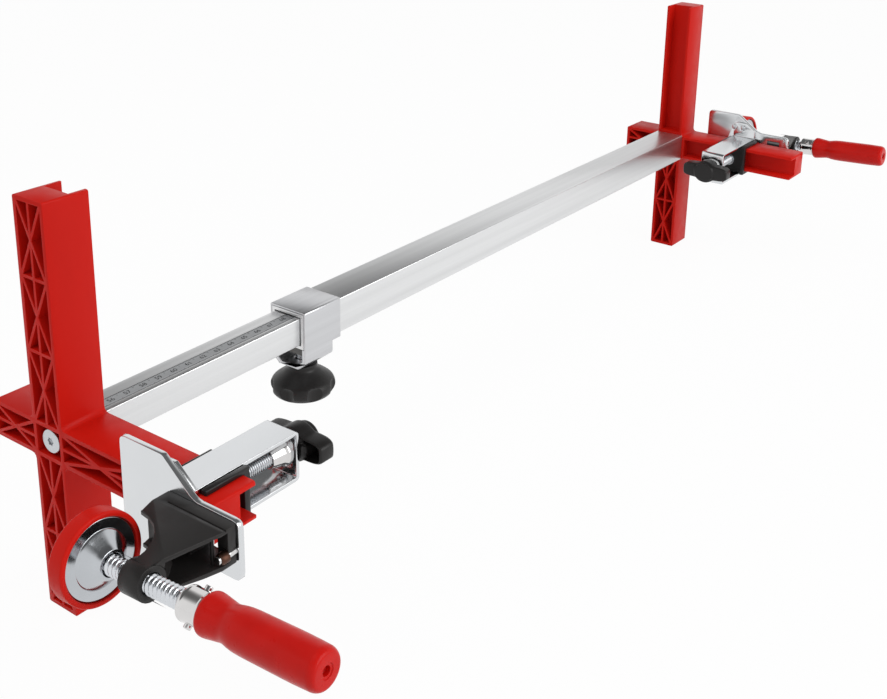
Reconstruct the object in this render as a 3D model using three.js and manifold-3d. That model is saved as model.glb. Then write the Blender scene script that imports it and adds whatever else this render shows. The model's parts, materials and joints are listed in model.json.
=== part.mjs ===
// A telescopic door-lining clamp: two ribbed crosses on a sliding bar, each with
// a screw clamp that slides along its long arm. Lengths are millimetres, +Z is up.
// X runs along the bar, the long arms point to -Y, and the origin is the centre of
// the near cross's foot.
import * as THREE from 'three';
import { mergeVertices } from 'three/addons/utils/BufferGeometryUtils.js';
import Module from 'manifold-3d';

const wasm = await Module();
wasm.setup();

// Driving dimensions of the whole clamp
const overallSpan = 665; // between the outer faces of the two crosses
const nearReach = 90.7; // bar's centre line to the near slider's centre
const farReach = 58.2; // bar's centre line to the far slider's centre
const nearAdvance = 0; // how far the near spindle is screwed in
const farAdvance = 15.7; // how far the far spindle is screwed in

// The cross: a moulded column with a long and a short arm
const crossDepth = 24.8;
const columnWidth = 21.4;
const columnHeight = 213;
const armCentre = 92; // height of the arms' centre line above the foot
const armHeight = 19;
const longArm = 110.7; // from the bar's centre line to the tip
const shortArm = 41.2;
const skin = 2.2; // outer walls of the moulding
const rib = 1.6;
const webThickness = 2;
const channelDepth = 9.3; // depth of the open channel on the bar side
const firstLongBay = 52.6;
const upperBays = 3;
const lowerBays = 2;
const innerFillet = 3;
const outerRounding = 1.2;
const seatWall = 3.4; // wall that the bar's end butts against

// The washer-head screw that holds each cross to the bar
const screwHeadRadius = 6.25;
const screwHeadThickness = 2;
const screwHeadRecess = 1;
const screwShankRadius = 3;
const screwGrip = 18; // length of shank beyond the cross
const screwChamfer = 1;
const socketRadius = 2.3;
const socketValleyRadius = 1.65;
const socketPoints = 6;
const socketDepth = 1.2;
const screwBossRadius = 5.6;
const ribSetback = 4; // how far the boss's ribs lie behind the outer face

// The bar
const openLength = 136.7; // bare profile between the near cross and the collar
const tubeWidth = 23.9;
const tubeHeight = 21.5;
const tubeWall = 2;
const profileWidth = 19;
const profileHeight = 16.6;
const profileWall = 1.8;
const profileLength = 450.2;
const screwPortRadius = 5.2;
const profileWeb = 1.6;
const stripWidth = 6.6;
const stripThickness = 0.4;
const stripOffset = 2.4; // strip's centre line, towards the long arms
const stripSetback = 1.5;
const plugLength = 8;
const insertLength = 20;

// The collar on the tube's end, with its clamp screw
const collarLength = 30.5;
const collarSkirtLength = 23.5;
const collarWall = 1.4;
const skirtDrop = 19.5; // bar's centre line to where the skirt slants in
const collarDrop = 24.5; // bar's centre line to the collar's floor
const floorHalfWidth = 7.3;
const chamberHalfWidth = 10.5;
const chamberWall = 1.9;
const shoeWindowLength = 16;
const shoeWindowWidth = 12;
const shoeThickness = 4;
const shoeLength = 20;
const shoeReach = 0.6; // free travel between the shoe's nose and the profile
const studRadius = 3.9;
const knobRadius = 19;
const knobHeight = 20;
const knobNeckRadius = 8.6;
const knobNeckHeight = 4.5;
const knobGap = 1.25; // between the collar's floor and the knob
const knobLobes = 7;
const scallopRadius = 7;
const scallopCentre = 24; // knob's axis to the axis of each scallop
const scallopHeight = 8.3;

// The slider on the long arm
const plateThickness = 3;
const plateTail = 34.2; // slider's centre to the plate's edge towards the column
const plateNose = 38.5; // slider's centre to the plate's outer edge
const plateTop = 25.8;
const plateBottom = 18;
const plateTailDrop = 31; // arm's centre line to the foot of the plate's tall side
const plateShoulder = 10.6;
const slantTop = 6.6;
const slantFoot = 12;
const slantRounding = 1.2;
const cornerRounding = 3.5;
const windowLow = 13;
const windowHigh = 4;
const windowInner = 20.5;
const windowOuter = 31;
const bracketWidth = 19;
const bracketLength = 63.5;
const sheet = 2;
const legClearance = 1.25; // between the arm and the bracket's legs
const bendRadius = 2.4;
const topTabHeight = 9.5;
const bottomTabHeight = 12;
const rivetRadius = 1.5;
const rivetHeadRadius = 2.1;
const rivetHeadHeight = 0.9;
const rivetCrownRadius = 1.5;
const rivetCrownHeight = 0.75;
const rivetSpacing = 8;
const topRivetRise = 3.4;
const topRivetShift = 3.5; // towards the column, clear of the slanted edge
const bottomRivetDrop = 7.8;
const bottomRivetShift = 5;
const rivetCover = 1; // plate left over the rivets' ends
const linerThickness = 3.4;
const linerWall = 0.85;
const linerLipRise = 2.8; // beyond the arm, beside the bracket's legs
const linerLipRounding = 0.8;
const linerTail = 11.5;
const linerNose = 13;
const linerStart = 3;
const runGap = 0.25; // running clearance between sliding pieces
const seatGap = 0.05; // gap left between pieces that are fixed to each other

// The lock screw in the bracket's end wall
const lockRadius = 3.9;
const lockChamfer = 1;
const bushTipRadius = 5;
const bushRadius = 6.5;
const bushStepRadius = 5.3;
const bushLength = 10;
const bushRingRadius = 7.5;
const bushRingThickness = 1.6;
const bushFlangeRadius = 7.6;
const bushFlangeThickness = 1.7;
const thrustPadRadius = 5;
const thrustPadThickness = 1.8;
const wingHubRadius = 9;
const wingHubLength = 14;
const wingSocketDepth = 9.8;
const wingGap = 1.25; // between the bush's flange and the knob
const wingReach = 19;
const wingTipHalf = 5.8;
const wingNeck = 11.8; // knob's axis to the wings' narrowest place
const wingNeckHalf = 5;
const wingRounding = 3.4;
const wingThickness = 10.5;
const wingWall = 1.7;
const wingPocketDepth = 8;

// The moulded arm that carries the spindle
const spindleOffset = 43; // outer face of the cross to the spindle's axis
const spindleDrop = 0.45; // below the arm's centre line, at the slider's centre
const spindleTilt = THREE.MathUtils.degToRad(3.3);
const baseThickness = 8.5;
const baseTail = 3;
const baseTop = 10;
const baseBottom = 8;
const flange = 2;
const bossTopRise = 8.5; // height of the upper flange where it meets the boss
const bossRadius = 7.5;
const bossStart = 20; // slider's centre to the boss's face towards the pad
const bossEnd = 31.5;
const padClearance = 22.7; // radius of the round notch that the pad draws into
const padClearanceCentre = 1;
const armWeb = 2.2;
const notchOverhang = 4; // how far the flanges reach past the web round the notch
const endPanelDepth = 5;
const hookDepth = 12.9;
const hookReach = 19.9;
const postWidth = 1.4;
const studPlace = 36; // slider's centre to the arm's stud
const studDrop = 3;
const armStudRadius = 1.7;
const armStudLength = 10;
const armNutRadius = 2.8;
const armNutHeight = 4;
const armNutCrownRadius = 2.2;
const armNutCrownHeight = 2.7;
const topGroovePlace = 2; // from the base's outer face to the groove in its top
const topGrooveWidth = 0.75;
const topGrooveDepth = 0.75;

// The spindle, its swivel pad and its handle, by distance along the axis
const threadRadius = 4.4;
const boreClearance = 0.25;
const ballRadius = 3.2;
const ballTipRadius = 2.6;
const ballLength = 2.6;
const ballRounding = 0.65;
const grooveRadius = 2.4;
const grooveLength = 2;
const tangRadius = 3.2;
const tangSetback = 1; // from the ferrule's face to the start of the tang
const tangEnd = 100;
const retainerRadius = 4.3;
const retainerThickness = 1.2;
const padFace = 6.6; // ball's end to the pad's face
const padRadius = 20;
const padRim = 2.1;
const padRecessRadius = 17.6;
const padSeat = 0.45;
const padRounding = 1.4;
const domeRadius = 15;
const domeFlange = 1.5;
const domeHeight = 8.1;
const domeShoulderRadius = 12.4;
const domeNeckRadius = 5.9;
const domeBore = 5;
const ferruleStart = 52.3;
const ferruleEnd = 63;
const ferruleRadius = 7.15;
const pinRadius = 1.6;
const pinLength = 17.4;
const pinTurn = THREE.MathUtils.degToRad(-42);
const handleEnd = 122.2;
const handleShoulderRadius = 7.4;
const handleBulgeRadius = 8.7;
const handleWaistRadius = 7.4;
const handleBarrelRadius = 8.7;
const handleCrown = 0.15; // how much the barrel narrows at its ends
const handleHoleRadius = 2;
const handleHoleDepth = 2.6;

// Cutting pieces overrun the solid that they cut by this much
const overrun = 1;
const roundSteps = 24;
const smallSteps = 12;
const cornerSteps = 3;

// Places that follow from the sizes above
const halfDepth = crossDepth / 2;
const halfColumn = columnWidth / 2;
const halfArm = armHeight / 2;
const armTop = armCentre + halfArm;
const armBottom = armCentre - halfArm;
const channelFloor = crossDepth - channelDepth;
const tubeStart = halfDepth + openLength;
const tubeEnd = overallSpan - crossDepth - halfDepth;
const halfTubeBore = tubeWidth / 2 - tubeWall;
const halfTubeBoreHeight = tubeHeight / 2 - tubeWall;
const legInner = halfArm + legClearance;
const legOuter = legInner + sheet;
const linerInner = halfArm + runGap;
const linerOuter = linerInner + linerWall;
const linerBack = crossDepth + runGap + linerThickness;

// Solids

// A closed solid from one geometry, with its faces turned outwards.
function solidOf(geometry) {
  const bare = geometry.index ? geometry.toNonIndexed() : geometry.clone();
  bare.deleteAttribute('normal');
  bare.deleteAttribute('uv');
  const merged = mergeVertices(bare);
  const place = merged.getAttribute('position');
  const corners = merged.index.array;
  const kept = [];
  let volume = 0;
  const [a, b, c] = [new THREE.Vector3(), new THREE.Vector3(), new THREE.Vector3()];
  for (let i = 0; i < corners.length; i += 3) {
    const [p, q, r] = [corners[i], corners[i + 1], corners[i + 2]];
    if (p === q || q === r || r === p) continue;
    a.fromBufferAttribute(place, p);
    b.fromBufferAttribute(place, q);
    c.fromBufferAttribute(place, r);
    volume += a.dot(b.cross(c));
    kept.push(p, q, r);
  }
  if (volume < 0) kept.reverse();
  return new wasm.Manifold(new wasm.Mesh({
    numProp: 3,
    vertProperties: new Float32Array(place.array),
    triVerts: new Uint32Array(kept),
  }));
}

function join(...solids) {
  return solids.reduce((sum, next) => sum.add(next));
}

function cut(body, ...tools) {
  return tools.reduce((rest, tool) => rest.subtract(tool), body);
}

function common(...solids) {
  return solids.reduce((rest, next) => rest.intersect(next));
}

function geometryOf(solid, mirrored) {
  const mesh = solid.getMesh();
  const places = Float32Array.from(mesh.vertProperties);
  const corners = Uint32Array.from(mesh.triVerts);
  if (mirrored) {
    for (let i = 0; i < places.length; i += 3) places[i] = -places[i];
    corners.reverse();
  }
  const geometry = new THREE.BufferGeometry();
  geometry.setAttribute('position', new THREE.BufferAttribute(places, 3));
  geometry.setIndex(new THREE.BufferAttribute(corners, 1));
  geometry.computeVertexNormals();
  return geometry;
}

// A box between two corners.
function box([x0, y0, z0], [x1, y1, z1]) {
  const geometry = new THREE.BoxGeometry(x1 - x0, y1 - y0, z1 - z0);
  geometry.translate((x0 + x1) / 2, (y0 + y1) / 2, (z0 + z1) / 2);
  return solidOf(geometry);
}

// Turns a form drawn on (u, v) and raised along w so that w lies on the named axis:
// x takes (u, v) to (y, z), y takes them to (z, x) and z to (x, y).
const turns = {
  x: new THREE.Matrix4().set(0, 0, 1, 0, 1, 0, 0, 0, 0, 1, 0, 0, 0, 0, 0, 1),
  y: new THREE.Matrix4().set(0, 1, 0, 0, 0, 0, 1, 0, 1, 0, 0, 0, 0, 0, 0, 1),
  z: new THREE.Matrix4(),
};

// A closed outline from [u, v, rounding] corners.
function outline(corners) {
  const shape = new THREE.Shape();
  corners.forEach(([u, v, rounding = 0], i) => {
    const corner = new THREE.Vector2(u, v);
    const [beforeU, beforeV] = corners[(i + corners.length - 1) % corners.length];
    const [afterU, afterV] = corners[(i + 1) % corners.length];
    const before = new THREE.Vector2(beforeU, beforeV).sub(corner).setLength(rounding).add(corner);
    const after = new THREE.Vector2(afterU, afterV).sub(corner).setLength(rounding).add(corner);
    if (i === 0) shape.moveTo(before.x, before.y);
    else shape.lineTo(before.x, before.y);
    if (rounding > 0) shape.quadraticCurveTo(u, v, after.x, after.y);
  });
  return shape;
}

function rectangle(u0, v0, u1, v1, rounding = 0) {
  return [[u0, v0, rounding], [u1, v0, rounding], [u1, v1, rounding], [u0, v1, rounding]];
}

function centred(halfU, halfV, rounding) {
  return rectangle(-halfU, -halfV, halfU, halfV, rounding);
}

// An outline carried along an axis from one place to another.
function prism(corners, axis, from, to) {
  const geometry = new THREE.ExtrudeGeometry(outline(corners), {
    depth: to - from,
    bevelEnabled: false,
    curveSegments: cornerSteps,
  });
  geometry.translate(0, 0, from);
  geometry.applyMatrix4(turns[axis]);
  return solidOf(geometry);
}

// A profile of [radius, distance] points turned round an axis.
function turned(profile, axis, steps = roundSteps) {
  const points = profile.map(([radius, along]) => new THREE.Vector2(radius, along));
  const geometry = new THREE.LatheGeometry(points, steps);
  geometry.rotateX(Math.PI / 2);
  geometry.applyMatrix4(turns[axis]);
  return solidOf(geometry);
}

function rod(radius, axis, from, to, steps = roundSteps) {
  return turned([[0, from], [radius, from], [radius, to], [0, to]], axis, steps);
}

function sleeve(inner, outer, axis, from, to) {
  return turned([[inner, from], [outer, from], [outer, to], [inner, to], [inner, from]], axis);
}

// The cross, with x from its outer face inwards and y = 0 on the bar's centre line

function crossOutline() {
  return [
    [-halfColumn, 0, outerRounding],
    [halfColumn, 0, outerRounding],
    [halfColumn, armBottom, innerFillet],
    [shortArm, armBottom, outerRounding],
    [shortArm, armTop, outerRounding],
    [halfColumn, armTop, innerFillet],
    [halfColumn, columnHeight, outerRounding],
    [-halfColumn, columnHeight, outerRounding],
    [-halfColumn, armTop, innerFillet],
    [-longArm, armTop, outerRounding],
    [-longArm, armBottom, outerRounding],
    [-halfColumn, armBottom, innerFillet],
  ];
}

// A straight rib between two points of the (y, z) plane, as wide as the others.
function ribBetween([y0, z0], [y1, z1], from, to) {
  const side = new THREE.Vector2(z0 - z1, y1 - y0).setLength(rib / 2);
  return prism([
    [y0 + side.x, z0 + side.y],
    [y0 - side.x, z0 - side.y],
    [y1 - side.x, z1 - side.y],
    [y1 + side.x, z1 + side.y],
  ], 'x', from, to);
}

// One pocket with a cross of ribs and a rib along its middle.
function ribbedPocket([y0, z0], [y1, z1], upright, from, to) {
  const [midY, midZ] = [(y0 + y1) / 2, (z0 + z1) / 2];
  const middle = upright ? [[midY, z0], [midY, z1]] : [[y0, midZ], [y1, midZ]];
  return cut(
    box([from, y0, z0], [to, y1, z1]),
    ribBetween([y0, z0], [y1, z1], from - overrun, to + overrun),
    ribBetween([y0, z1], [y1, z0], from - overrun, to + overrun),
    ribBetween(...middle, from - overrun, to + overrun),
  );
}

// Pockets in a row up or down the column, with a rib between each two.
function columnPockets(low, high, bays, from, to) {
  const pitch = (high - low + rib) / bays;
  const halfPocket = halfColumn - skin;
  return Array.from({ length: bays }, (_, i) => ribbedPocket(
    [-halfPocket, low + i * pitch],
    [halfPocket, low + (i + 1) * pitch - rib],
    true, from, to,
  ));
}

function armPocket(inner, outer, from, to) {
  const halfPocket = halfArm - skin;
  return ribbedPocket(
    [inner, armCentre - halfPocket], [outer, armCentre + halfPocket], false, from, to,
  );
}

// The middle cell: a deep pocket round the boss that the cross's screw goes through.
function screwCell() {
  const [halfY, halfZ] = [halfColumn - skin, halfArm - skin];
  const bossFace = screwHeadRecess + screwHeadThickness;
  const depth = crossDepth - seatWall;
  const boss = rod(screwBossRadius, 'x', bossFace, depth + overrun).translate([0, 0, armCentre]);
  const upright = box([ribSetback, -rib / 2, armBottom], [depth + overrun, rib / 2, armTop]);
  const level = box(
    [ribSetback, -halfColumn, armCentre - rib / 2], [depth + overrun, halfColumn, armCentre + rib / 2],
  );
  const pocket = box([-overrun, -halfY, armCentre - halfZ], [depth, halfY, armCentre + halfZ]);
  return cut(pocket, boss, upright, level);
}

function crossSolid() {
  const outerPocket = channelFloor - webThickness;
  const halfPocket = (crossDepth - webThickness) / 2;
  const innerPocket = crossDepth - halfPocket;
  const past = crossDepth + overrun;
  const tubeSeatTop = armCentre + tubeHeight / 2 + skin;
  const tubeSeatBottom = armCentre - tubeHeight / 2 - skin / 2;
  const tubeSeatSide = tubeWidth / 2 + skin;
  const channelHalf = halfColumn - skin;
  const armChannelHalf = halfArm - skin;
  const lastBay = halfColumn + firstLongBay + rib;
  return cut(
    prism(crossOutline(), 'x', 0, crossDepth),
    ...columnPockets(armTop, columnHeight - skin, upperBays, -overrun, outerPocket),
    ...columnPockets(skin, armBottom, lowerBays, -overrun, halfPocket),
    ...columnPockets(skin, tubeSeatBottom, lowerBays, innerPocket, past),
    armPocket(halfColumn, shortArm - skin, -overrun, halfPocket),
    armPocket(tubeSeatSide, shortArm - skin, innerPocket, past),
    armPocket(-halfColumn - firstLongBay, -halfColumn, -overrun, outerPocket),
    armPocket(-longArm + skin, -lastBay, -overrun, outerPocket),
    box([channelFloor, -channelHalf, tubeSeatTop], [past, channelHalf, columnHeight + overrun]),
    box(
      [channelFloor, -longArm - overrun, armCentre - armChannelHalf],
      [past, -tubeSeatSide, armCentre + armChannelHalf],
    ),
    screwCell(),
    rod(screwShankRadius + boreClearance, 'x', -overrun, past).translate([0, 0, armCentre]),
  );
}

function crossScrewSolid() {
  const headBack = screwHeadRecess + screwHeadThickness - seatGap;
  const tip = crossDepth + screwGrip;
  const socket = prism(
    Array.from({ length: 2 * socketPoints }, (_, i) => {
      const [reach, turn] = [i % 2 ? socketValleyRadius : socketRadius, i * Math.PI / socketPoints];
      return [reach * Math.cos(turn), reach * Math.sin(turn)];
    }),
    'x', 0, screwHeadRecess + socketDepth,
  );
  const body = turned([
    [0, screwHeadRecess],
    [screwHeadRadius - screwChamfer / 2, screwHeadRecess],
    [screwHeadRadius, screwHeadRecess + screwChamfer / 2],
    [screwHeadRadius, headBack],
    [screwShankRadius, headBack],
    [screwShankRadius, tip - screwChamfer],
    [screwShankRadius - screwChamfer, tip],
    [0, tip],
  ], 'x');
  return cut(body, socket);
}

// The bar's pieces, with the bar's centre line on y = z = 0

// The profile's section is a box with a round screw port held by two webs.
function profileSolid() {
  const start = halfDepth + seatGap;
  const [halfWidth, halfHeight] = [profileWidth / 2, profileHeight / 2];
  const [innerY, innerZ] = [halfWidth - profileWall, halfHeight - profileWall - stripThickness];
  const length = profileLength - 2 * seatGap;
  const hollow = box([0, -innerY, -innerZ], [length + 2 * overrun, innerY, innerZ]);
  const port = rod(screwPortRadius, 'x', -overrun, length + 3 * overrun);
  const web = box([-overrun, -halfWidth, -profileWeb / 2], [length + 3 * overrun, halfWidth, profileWeb / 2]);
  const cavity = cut(hollow, port, web).translate([start - overrun, 0, 0]);
  const grooveSide = stripWidth / 2 + seatGap;
  const groove = box(
    [start - overrun, -stripOffset - grooveSide, halfHeight - stripThickness],
    [start + length + overrun, -stripOffset + grooveSide, halfHeight + overrun],
  );
  return cut(
    prism(centred(halfWidth, halfHeight, outerRounding / 2), 'x', start, start + length),
    cavity,
    groove,
    rod(screwShankRadius + boreClearance, 'x', start - overrun, start + length + overrun),
  );
}

function stripSolid() {
  const start = halfDepth + stripSetback;
  const floor = profileHeight / 2 - stripThickness + seatGap;
  return box(
    [start, -stripOffset - stripWidth / 2, floor],
    [start + profileLength - 2 * stripSetback, -stripOffset + stripWidth / 2, profileHeight / 2],
  );
}

function plugSolid() {
  const start = halfDepth + profileLength + seatGap;
  const [halfWidth, halfHeight] = [halfTubeBore - runGap, halfTubeBoreHeight - runGap];
  return prism(centred(halfWidth, halfHeight, outerRounding), 'x', start, start + plugLength);
}

function tubeSolid() {
  const [halfWidth, halfHeight] = [tubeWidth / 2, tubeHeight / 2];
  const end = tubeEnd - seatGap;
  const shoeMiddle = tubeStart + collarSkirtLength / 2;
  return cut(
    prism(centred(halfWidth, halfHeight, outerRounding / 2), 'x', tubeStart, end),
    box(
      [tubeStart - overrun, -halfWidth + tubeWall, -halfHeight + tubeWall],
      [end + overrun, halfWidth - tubeWall, halfHeight - tubeWall],
    ),
    box(
      [shoeMiddle - shoeWindowLength / 2, -shoeWindowWidth / 2, -halfHeight - overrun],
      [shoeMiddle + shoeWindowLength / 2, shoeWindowWidth / 2, 0],
    ),
  );
}

function insertSolid() {
  const [halfWidth, halfHeight] = [halfTubeBore - runGap, halfTubeBoreHeight - runGap];
  const end = tubeEnd - seatGap;
  return cut(
    prism(centred(halfWidth, halfHeight, outerRounding), 'x', end - insertLength, end),
    rod(screwShankRadius + boreClearance, 'x', end - insertLength - overrun, end + overrun),
  );
}

// The collar wraps the tube's end, and its skirt below holds the clamp shoe.
function collarSolid() {
  const [halfTube, halfHeight] = [tubeWidth / 2 + seatGap, tubeHeight / 2 + seatGap];
  const outer = halfTube + collarWall;
  const top = halfHeight + collarWall;
  const floor = collarDrop - chamberWall;
  const chamberSlant = skirtDrop - chamberWall / 2;
  const chamberFloor = floorHalfWidth - chamberWall;
  const body = prism([
    [-floorHalfWidth, -collarDrop, outerRounding / 2],
    [floorHalfWidth, -collarDrop, outerRounding / 2],
    [outer, -skirtDrop, outerRounding],
    [outer, top, outerRounding],
    [-outer, top, outerRounding],
    [-outer, -skirtDrop, outerRounding],
  ], 'x', tubeStart, tubeStart + collarLength);
  const chamber = prism([
    [-chamberFloor, -floor],
    [chamberFloor, -floor],
    [chamberHalfWidth, -chamberSlant],
    [chamberHalfWidth, 0],
    [-chamberHalfWidth, 0],
    [-chamberHalfWidth, -chamberSlant],
  ], 'x', tubeStart - overrun, tubeStart + collarLength + overrun);
  const bore = box(
    [tubeStart - overrun, -halfTube, -halfHeight],
    [tubeStart + collarLength + overrun, halfTube, halfHeight],
  );
  const step = box(
    [tubeStart + collarSkirtLength, -outer - overrun, -collarDrop - overrun],
    [tubeStart + collarLength + overrun, outer + overrun, -halfHeight - chamberWall],
  );
  const stud = rod(studRadius + boreClearance, 'z', -collarDrop - overrun, -floor + overrun);
  const shoeMiddle = tubeStart + collarSkirtLength / 2;
  return cut(body, chamber, bore, step, stud.translate([shoeMiddle, 0, 0]));
}

// The shoe's nose reaches the profile through the window in the tube.
const shoeTop = -tubeHeight / 2 - runGap - shoeReach;
function shoeSolid() {
  const half = chamberHalfWidth - runGap;
  const nose = -profileHeight / 2 - shoeReach;
  return join(
    box([-shoeLength / 2, -half, shoeTop - shoeThickness], [shoeLength / 2, half, shoeTop]),
    box(
      [-shoeWindowLength / 2 + 2 * runGap, -shoeWindowWidth / 2 + 2 * runGap, shoeTop - overrun],
      [shoeWindowLength / 2 - 2 * runGap, shoeWindowWidth / 2 - 2 * runGap, nose],
    ),
  );
}

const studTop = shoeTop - shoeThickness - seatGap;
const knobTop = -collarDrop - knobGap;
const knobSocket = knobTop - knobHeight + knobNeckHeight;
function clampStudSolid() {
  return rod(studRadius, 'z', knobSocket + seatGap, studTop);
}

// Shares of the knob's radius and height at which its bell-shaped outline is given.
const knobShares = [[0.62, 0], [0.86, 0.06], [0.98, 0.17], [1, 0.33], [0.95, 0.46], [0.78, 0.58]];
const knobShoulderShare = 0.58;

// A bell-shaped knob with a scalloped rim.
function clampKnobSolid() {
  const bottom = knobTop - knobHeight;
  const shoulder = knobTop - knobNeckHeight;
  const body = turned([
    [0, bottom],
    ...knobShares.map(([radius, height]) => [radius * knobRadius, bottom + height * knobHeight]),
    [knobShoulderShare * knobRadius, shoulder],
    [knobNeckRadius, (shoulder + knobTop) / 2],
    [knobNeckRadius, knobTop],
    [0, knobTop],
  ], 'z');
  const scallop = rod(scallopRadius, 'z', bottom - overrun, bottom + scallopHeight);
  const scallops = Array.from({ length: knobLobes }, (_, i) => {
    const turn = i * 2 * Math.PI / knobLobes;
    return scallop.translate([scallopCentre * Math.cos(turn), scallopCentre * Math.sin(turn), 0]);
  });
  return cut(body, ...scallops, rod(studRadius + seatGap, 'z', knobSocket, knobTop + overrun));
}

// The slider's pieces. x runs from the cross's outer face inwards, y = 0 is the
// slider's centre and z = 0 the arm's centre line.

const plateInside = -seatGap - runGap;
const plateOutside = plateInside - plateThickness;
const rivetEnd = plateOutside + rivetCover;

const plateOutline = [
  [-slantFoot, -plateBottom, cornerRounding],
  [slantTop, -plateTailDrop, slantRounding],
  [plateTail, -plateTailDrop, cornerRounding],
  [plateTail, plateTop, cornerRounding],
  [slantTop, plateTop, slantRounding],
  [-slantFoot, plateShoulder, cornerRounding],
  [-plateNose, plateShoulder, cornerRounding],
  [-plateNose, -plateBottom, cornerRounding],
];
function plateSolid(studSide) {
  return cut(
    prism(plateOutline, 'x', plateOutside, plateInside),
    box(
      [plateOutside - overrun, -windowOuter, -windowLow],
      [plateInside + overrun, -windowInner, windowHigh],
    ),
    ...rivetPlaces().map(([y, z]) => rivetHole(y, z)),
    rod(armStudRadius + seatGap, 'x', plateOutside - overrun, plateInside + overrun, smallSteps)
      .translate([0, -studPlace, -studDrop * studSide]),
  );
}

// A strip of sheet bent round the arm, with a tab at each end on the plate. The tabs
// follow the plate's slanted edges.
function bracketSolid() {
  const back = bracketLength;
  const tabIn = plateInside + seatGap;
  const tabOut = tabIn + sheet;
  const [low, high] = [-legOuter - bottomTabHeight, legOuter + topTabHeight];
  const half = bracketWidth / 2;
  const outside = prism([
    [-legOuter, tabIn],
    [legOuter, tabIn],
    [legOuter, back, bendRadius],
    [-legOuter, back, bendRadius],
  ], 'y', -half, half);
  const inside = box([tabIn - overrun, -half - overrun, -legInner], [back - sheet, half + overrun, legInner]);
  const onPlate = prism(plateOutline, 'x', tabIn - overrun, tabOut + overrun);
  const tabs = [[legInner, high], [low, -legInner]].map(([z0, z1]) => (
    common(prism(rectangle(-half, z0, half, z1, cornerRounding), 'x', tabIn, tabOut), onPlate)));
  return cut(
    join(cut(outside, inside), ...tabs),
    rod(bushStepRadius + seatGap, 'x', back - sheet - overrun, back + overrun),
    ...rivetPlaces().map(([y, z]) => rivetHole(y, z)),
  );
}

function rivetPlaces() {
  const rows = [[topRivetShift, legOuter + topRivetRise], [bottomRivetShift, -legOuter - bottomRivetDrop]];
  return rows.flatMap(([y, z]) => [[y + rivetSpacing / 2, z], [y - rivetSpacing / 2, z]]);
}

function rivetHole(y, z) {
  return rod(rivetRadius + seatGap, 'x', rivetEnd - seatGap, sheet + overrun, smallSteps)
    .translate([0, y, z]);
}

function rivetSolid() {
  const head = plateInside + 2 * seatGap + sheet;
  return turned([
    [0, rivetEnd],
    [rivetRadius, rivetEnd],
    [rivetRadius, head],
    [rivetHeadRadius, head],
    [rivetHeadRadius, (head + head + rivetCrownHeight) / 2],
    [rivetCrownRadius, head + rivetCrownHeight],
    [0, head + rivetHeadHeight],
  ], 'x', smallSteps);
}

// The liner is a plastic channel round the arm's bar side, under the bracket, with a
// raised lip on each side of the bracket.
function linerSolid() {
  const beside = bracketWidth / 2 + runGap;
  const rise = halfArm + linerLipRise;
  const lips = [[-linerNose, -beside], [beside, linerTail]].map(([y0, y1]) => (
    prism(rectangle(y0, -rise, y1, rise, linerLipRounding), 'x', linerStart, linerBack)));
  return cut(
    join(box([linerStart, -linerNose, -linerOuter], [linerBack, linerTail, linerOuter]), ...lips),
    box(
      [linerStart - overrun, -linerNose - overrun, -linerInner],
      [crossDepth + runGap, linerTail + overrun, linerInner],
    ),
  );
}

// A flared threaded bush pressed through the end wall from outside.
function bushSolid() {
  const wallIn = bracketLength - sheet;
  const bore = lockRadius + boreClearance;
  return turned([
    [bore, wallIn - bushLength],
    [bushTipRadius, wallIn - bushLength],
    [bushRadius, wallIn - 2 * bushRingThickness],
    [bushRingRadius, wallIn - bushRingThickness],
    [bushRingRadius, wallIn - seatGap],
    [bushStepRadius, wallIn - seatGap],
    [bushStepRadius, bracketLength + seatGap],
    [bushFlangeRadius, bracketLength + seatGap],
    [bushFlangeRadius, bracketLength + bushFlangeThickness],
    [bore, bracketLength + bushFlangeThickness],
    [bore, wallIn - bushLength],
  ], 'x');
}

const thrustPadIn = linerBack + seatGap;
function thrustPadSolid() {
  return rod(thrustPadRadius, 'x', thrustPadIn, thrustPadIn + thrustPadThickness);
}

const wingStart = bracketLength + bushFlangeThickness + wingGap;
const wingSocket = wingStart + wingSocketDepth;
function lockScrewSolid() {
  const start = thrustPadIn + thrustPadThickness + seatGap;
  return turned([
    [0, start],
    [lockRadius - lockChamfer, start],
    [lockRadius, start + lockChamfer],
    [lockRadius, wingSocket - seatGap],
    [0, wingSocket - seatGap],
  ], 'x');
}

// A two-winged knob on the lock screw, its wings hollow on the bracket's side.
function wingKnobSolid() {
  const end = wingStart + wingHubLength;
  const hub = turned([
    [0, wingStart],
    [wingHubRadius - outerRounding, wingStart],
    [wingHubRadius, wingStart + outerRounding],
    [wingHubRadius, end - 2 * outerRounding],
    [wingHubRadius - 2 * outerRounding, end],
    [0, end],
  ], 'x');
  const wingFrom = wingStart + (wingHubLength - wingThickness) / 2;
  const wings = prism([
    [wingReach, -wingTipHalf, wingRounding],
    [wingReach, wingTipHalf, wingRounding],
    [wingNeck, wingNeckHalf, wingRounding],
    [-wingNeck, wingNeckHalf, wingRounding],
    [-wingReach, wingTipHalf, wingRounding],
    [-wingReach, -wingTipHalf, wingRounding],
    [-wingNeck, -wingNeckHalf, wingRounding],
    [wingNeck, -wingNeckHalf, wingRounding],
  ], 'x', wingFrom, wingFrom + wingThickness);
  const pocket = prism([
    [wingHubRadius + wingWall, wingWall - wingNeckHalf],
    [wingReach - wingWall, wingWall - wingTipHalf, wingWall],
    [wingReach - wingWall, wingTipHalf - wingWall, wingWall],
    [wingHubRadius + wingWall, wingNeckHalf - wingWall],
  ], 'x', wingFrom - overrun, wingFrom + wingPocketDepth);
  const socket = rod(lockRadius + seatGap, 'x', wingStart - overrun, wingSocket);
  return cut(join(hub, wings), pocket, pocket.rotate([180, 0, 0]), socket);
}

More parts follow.
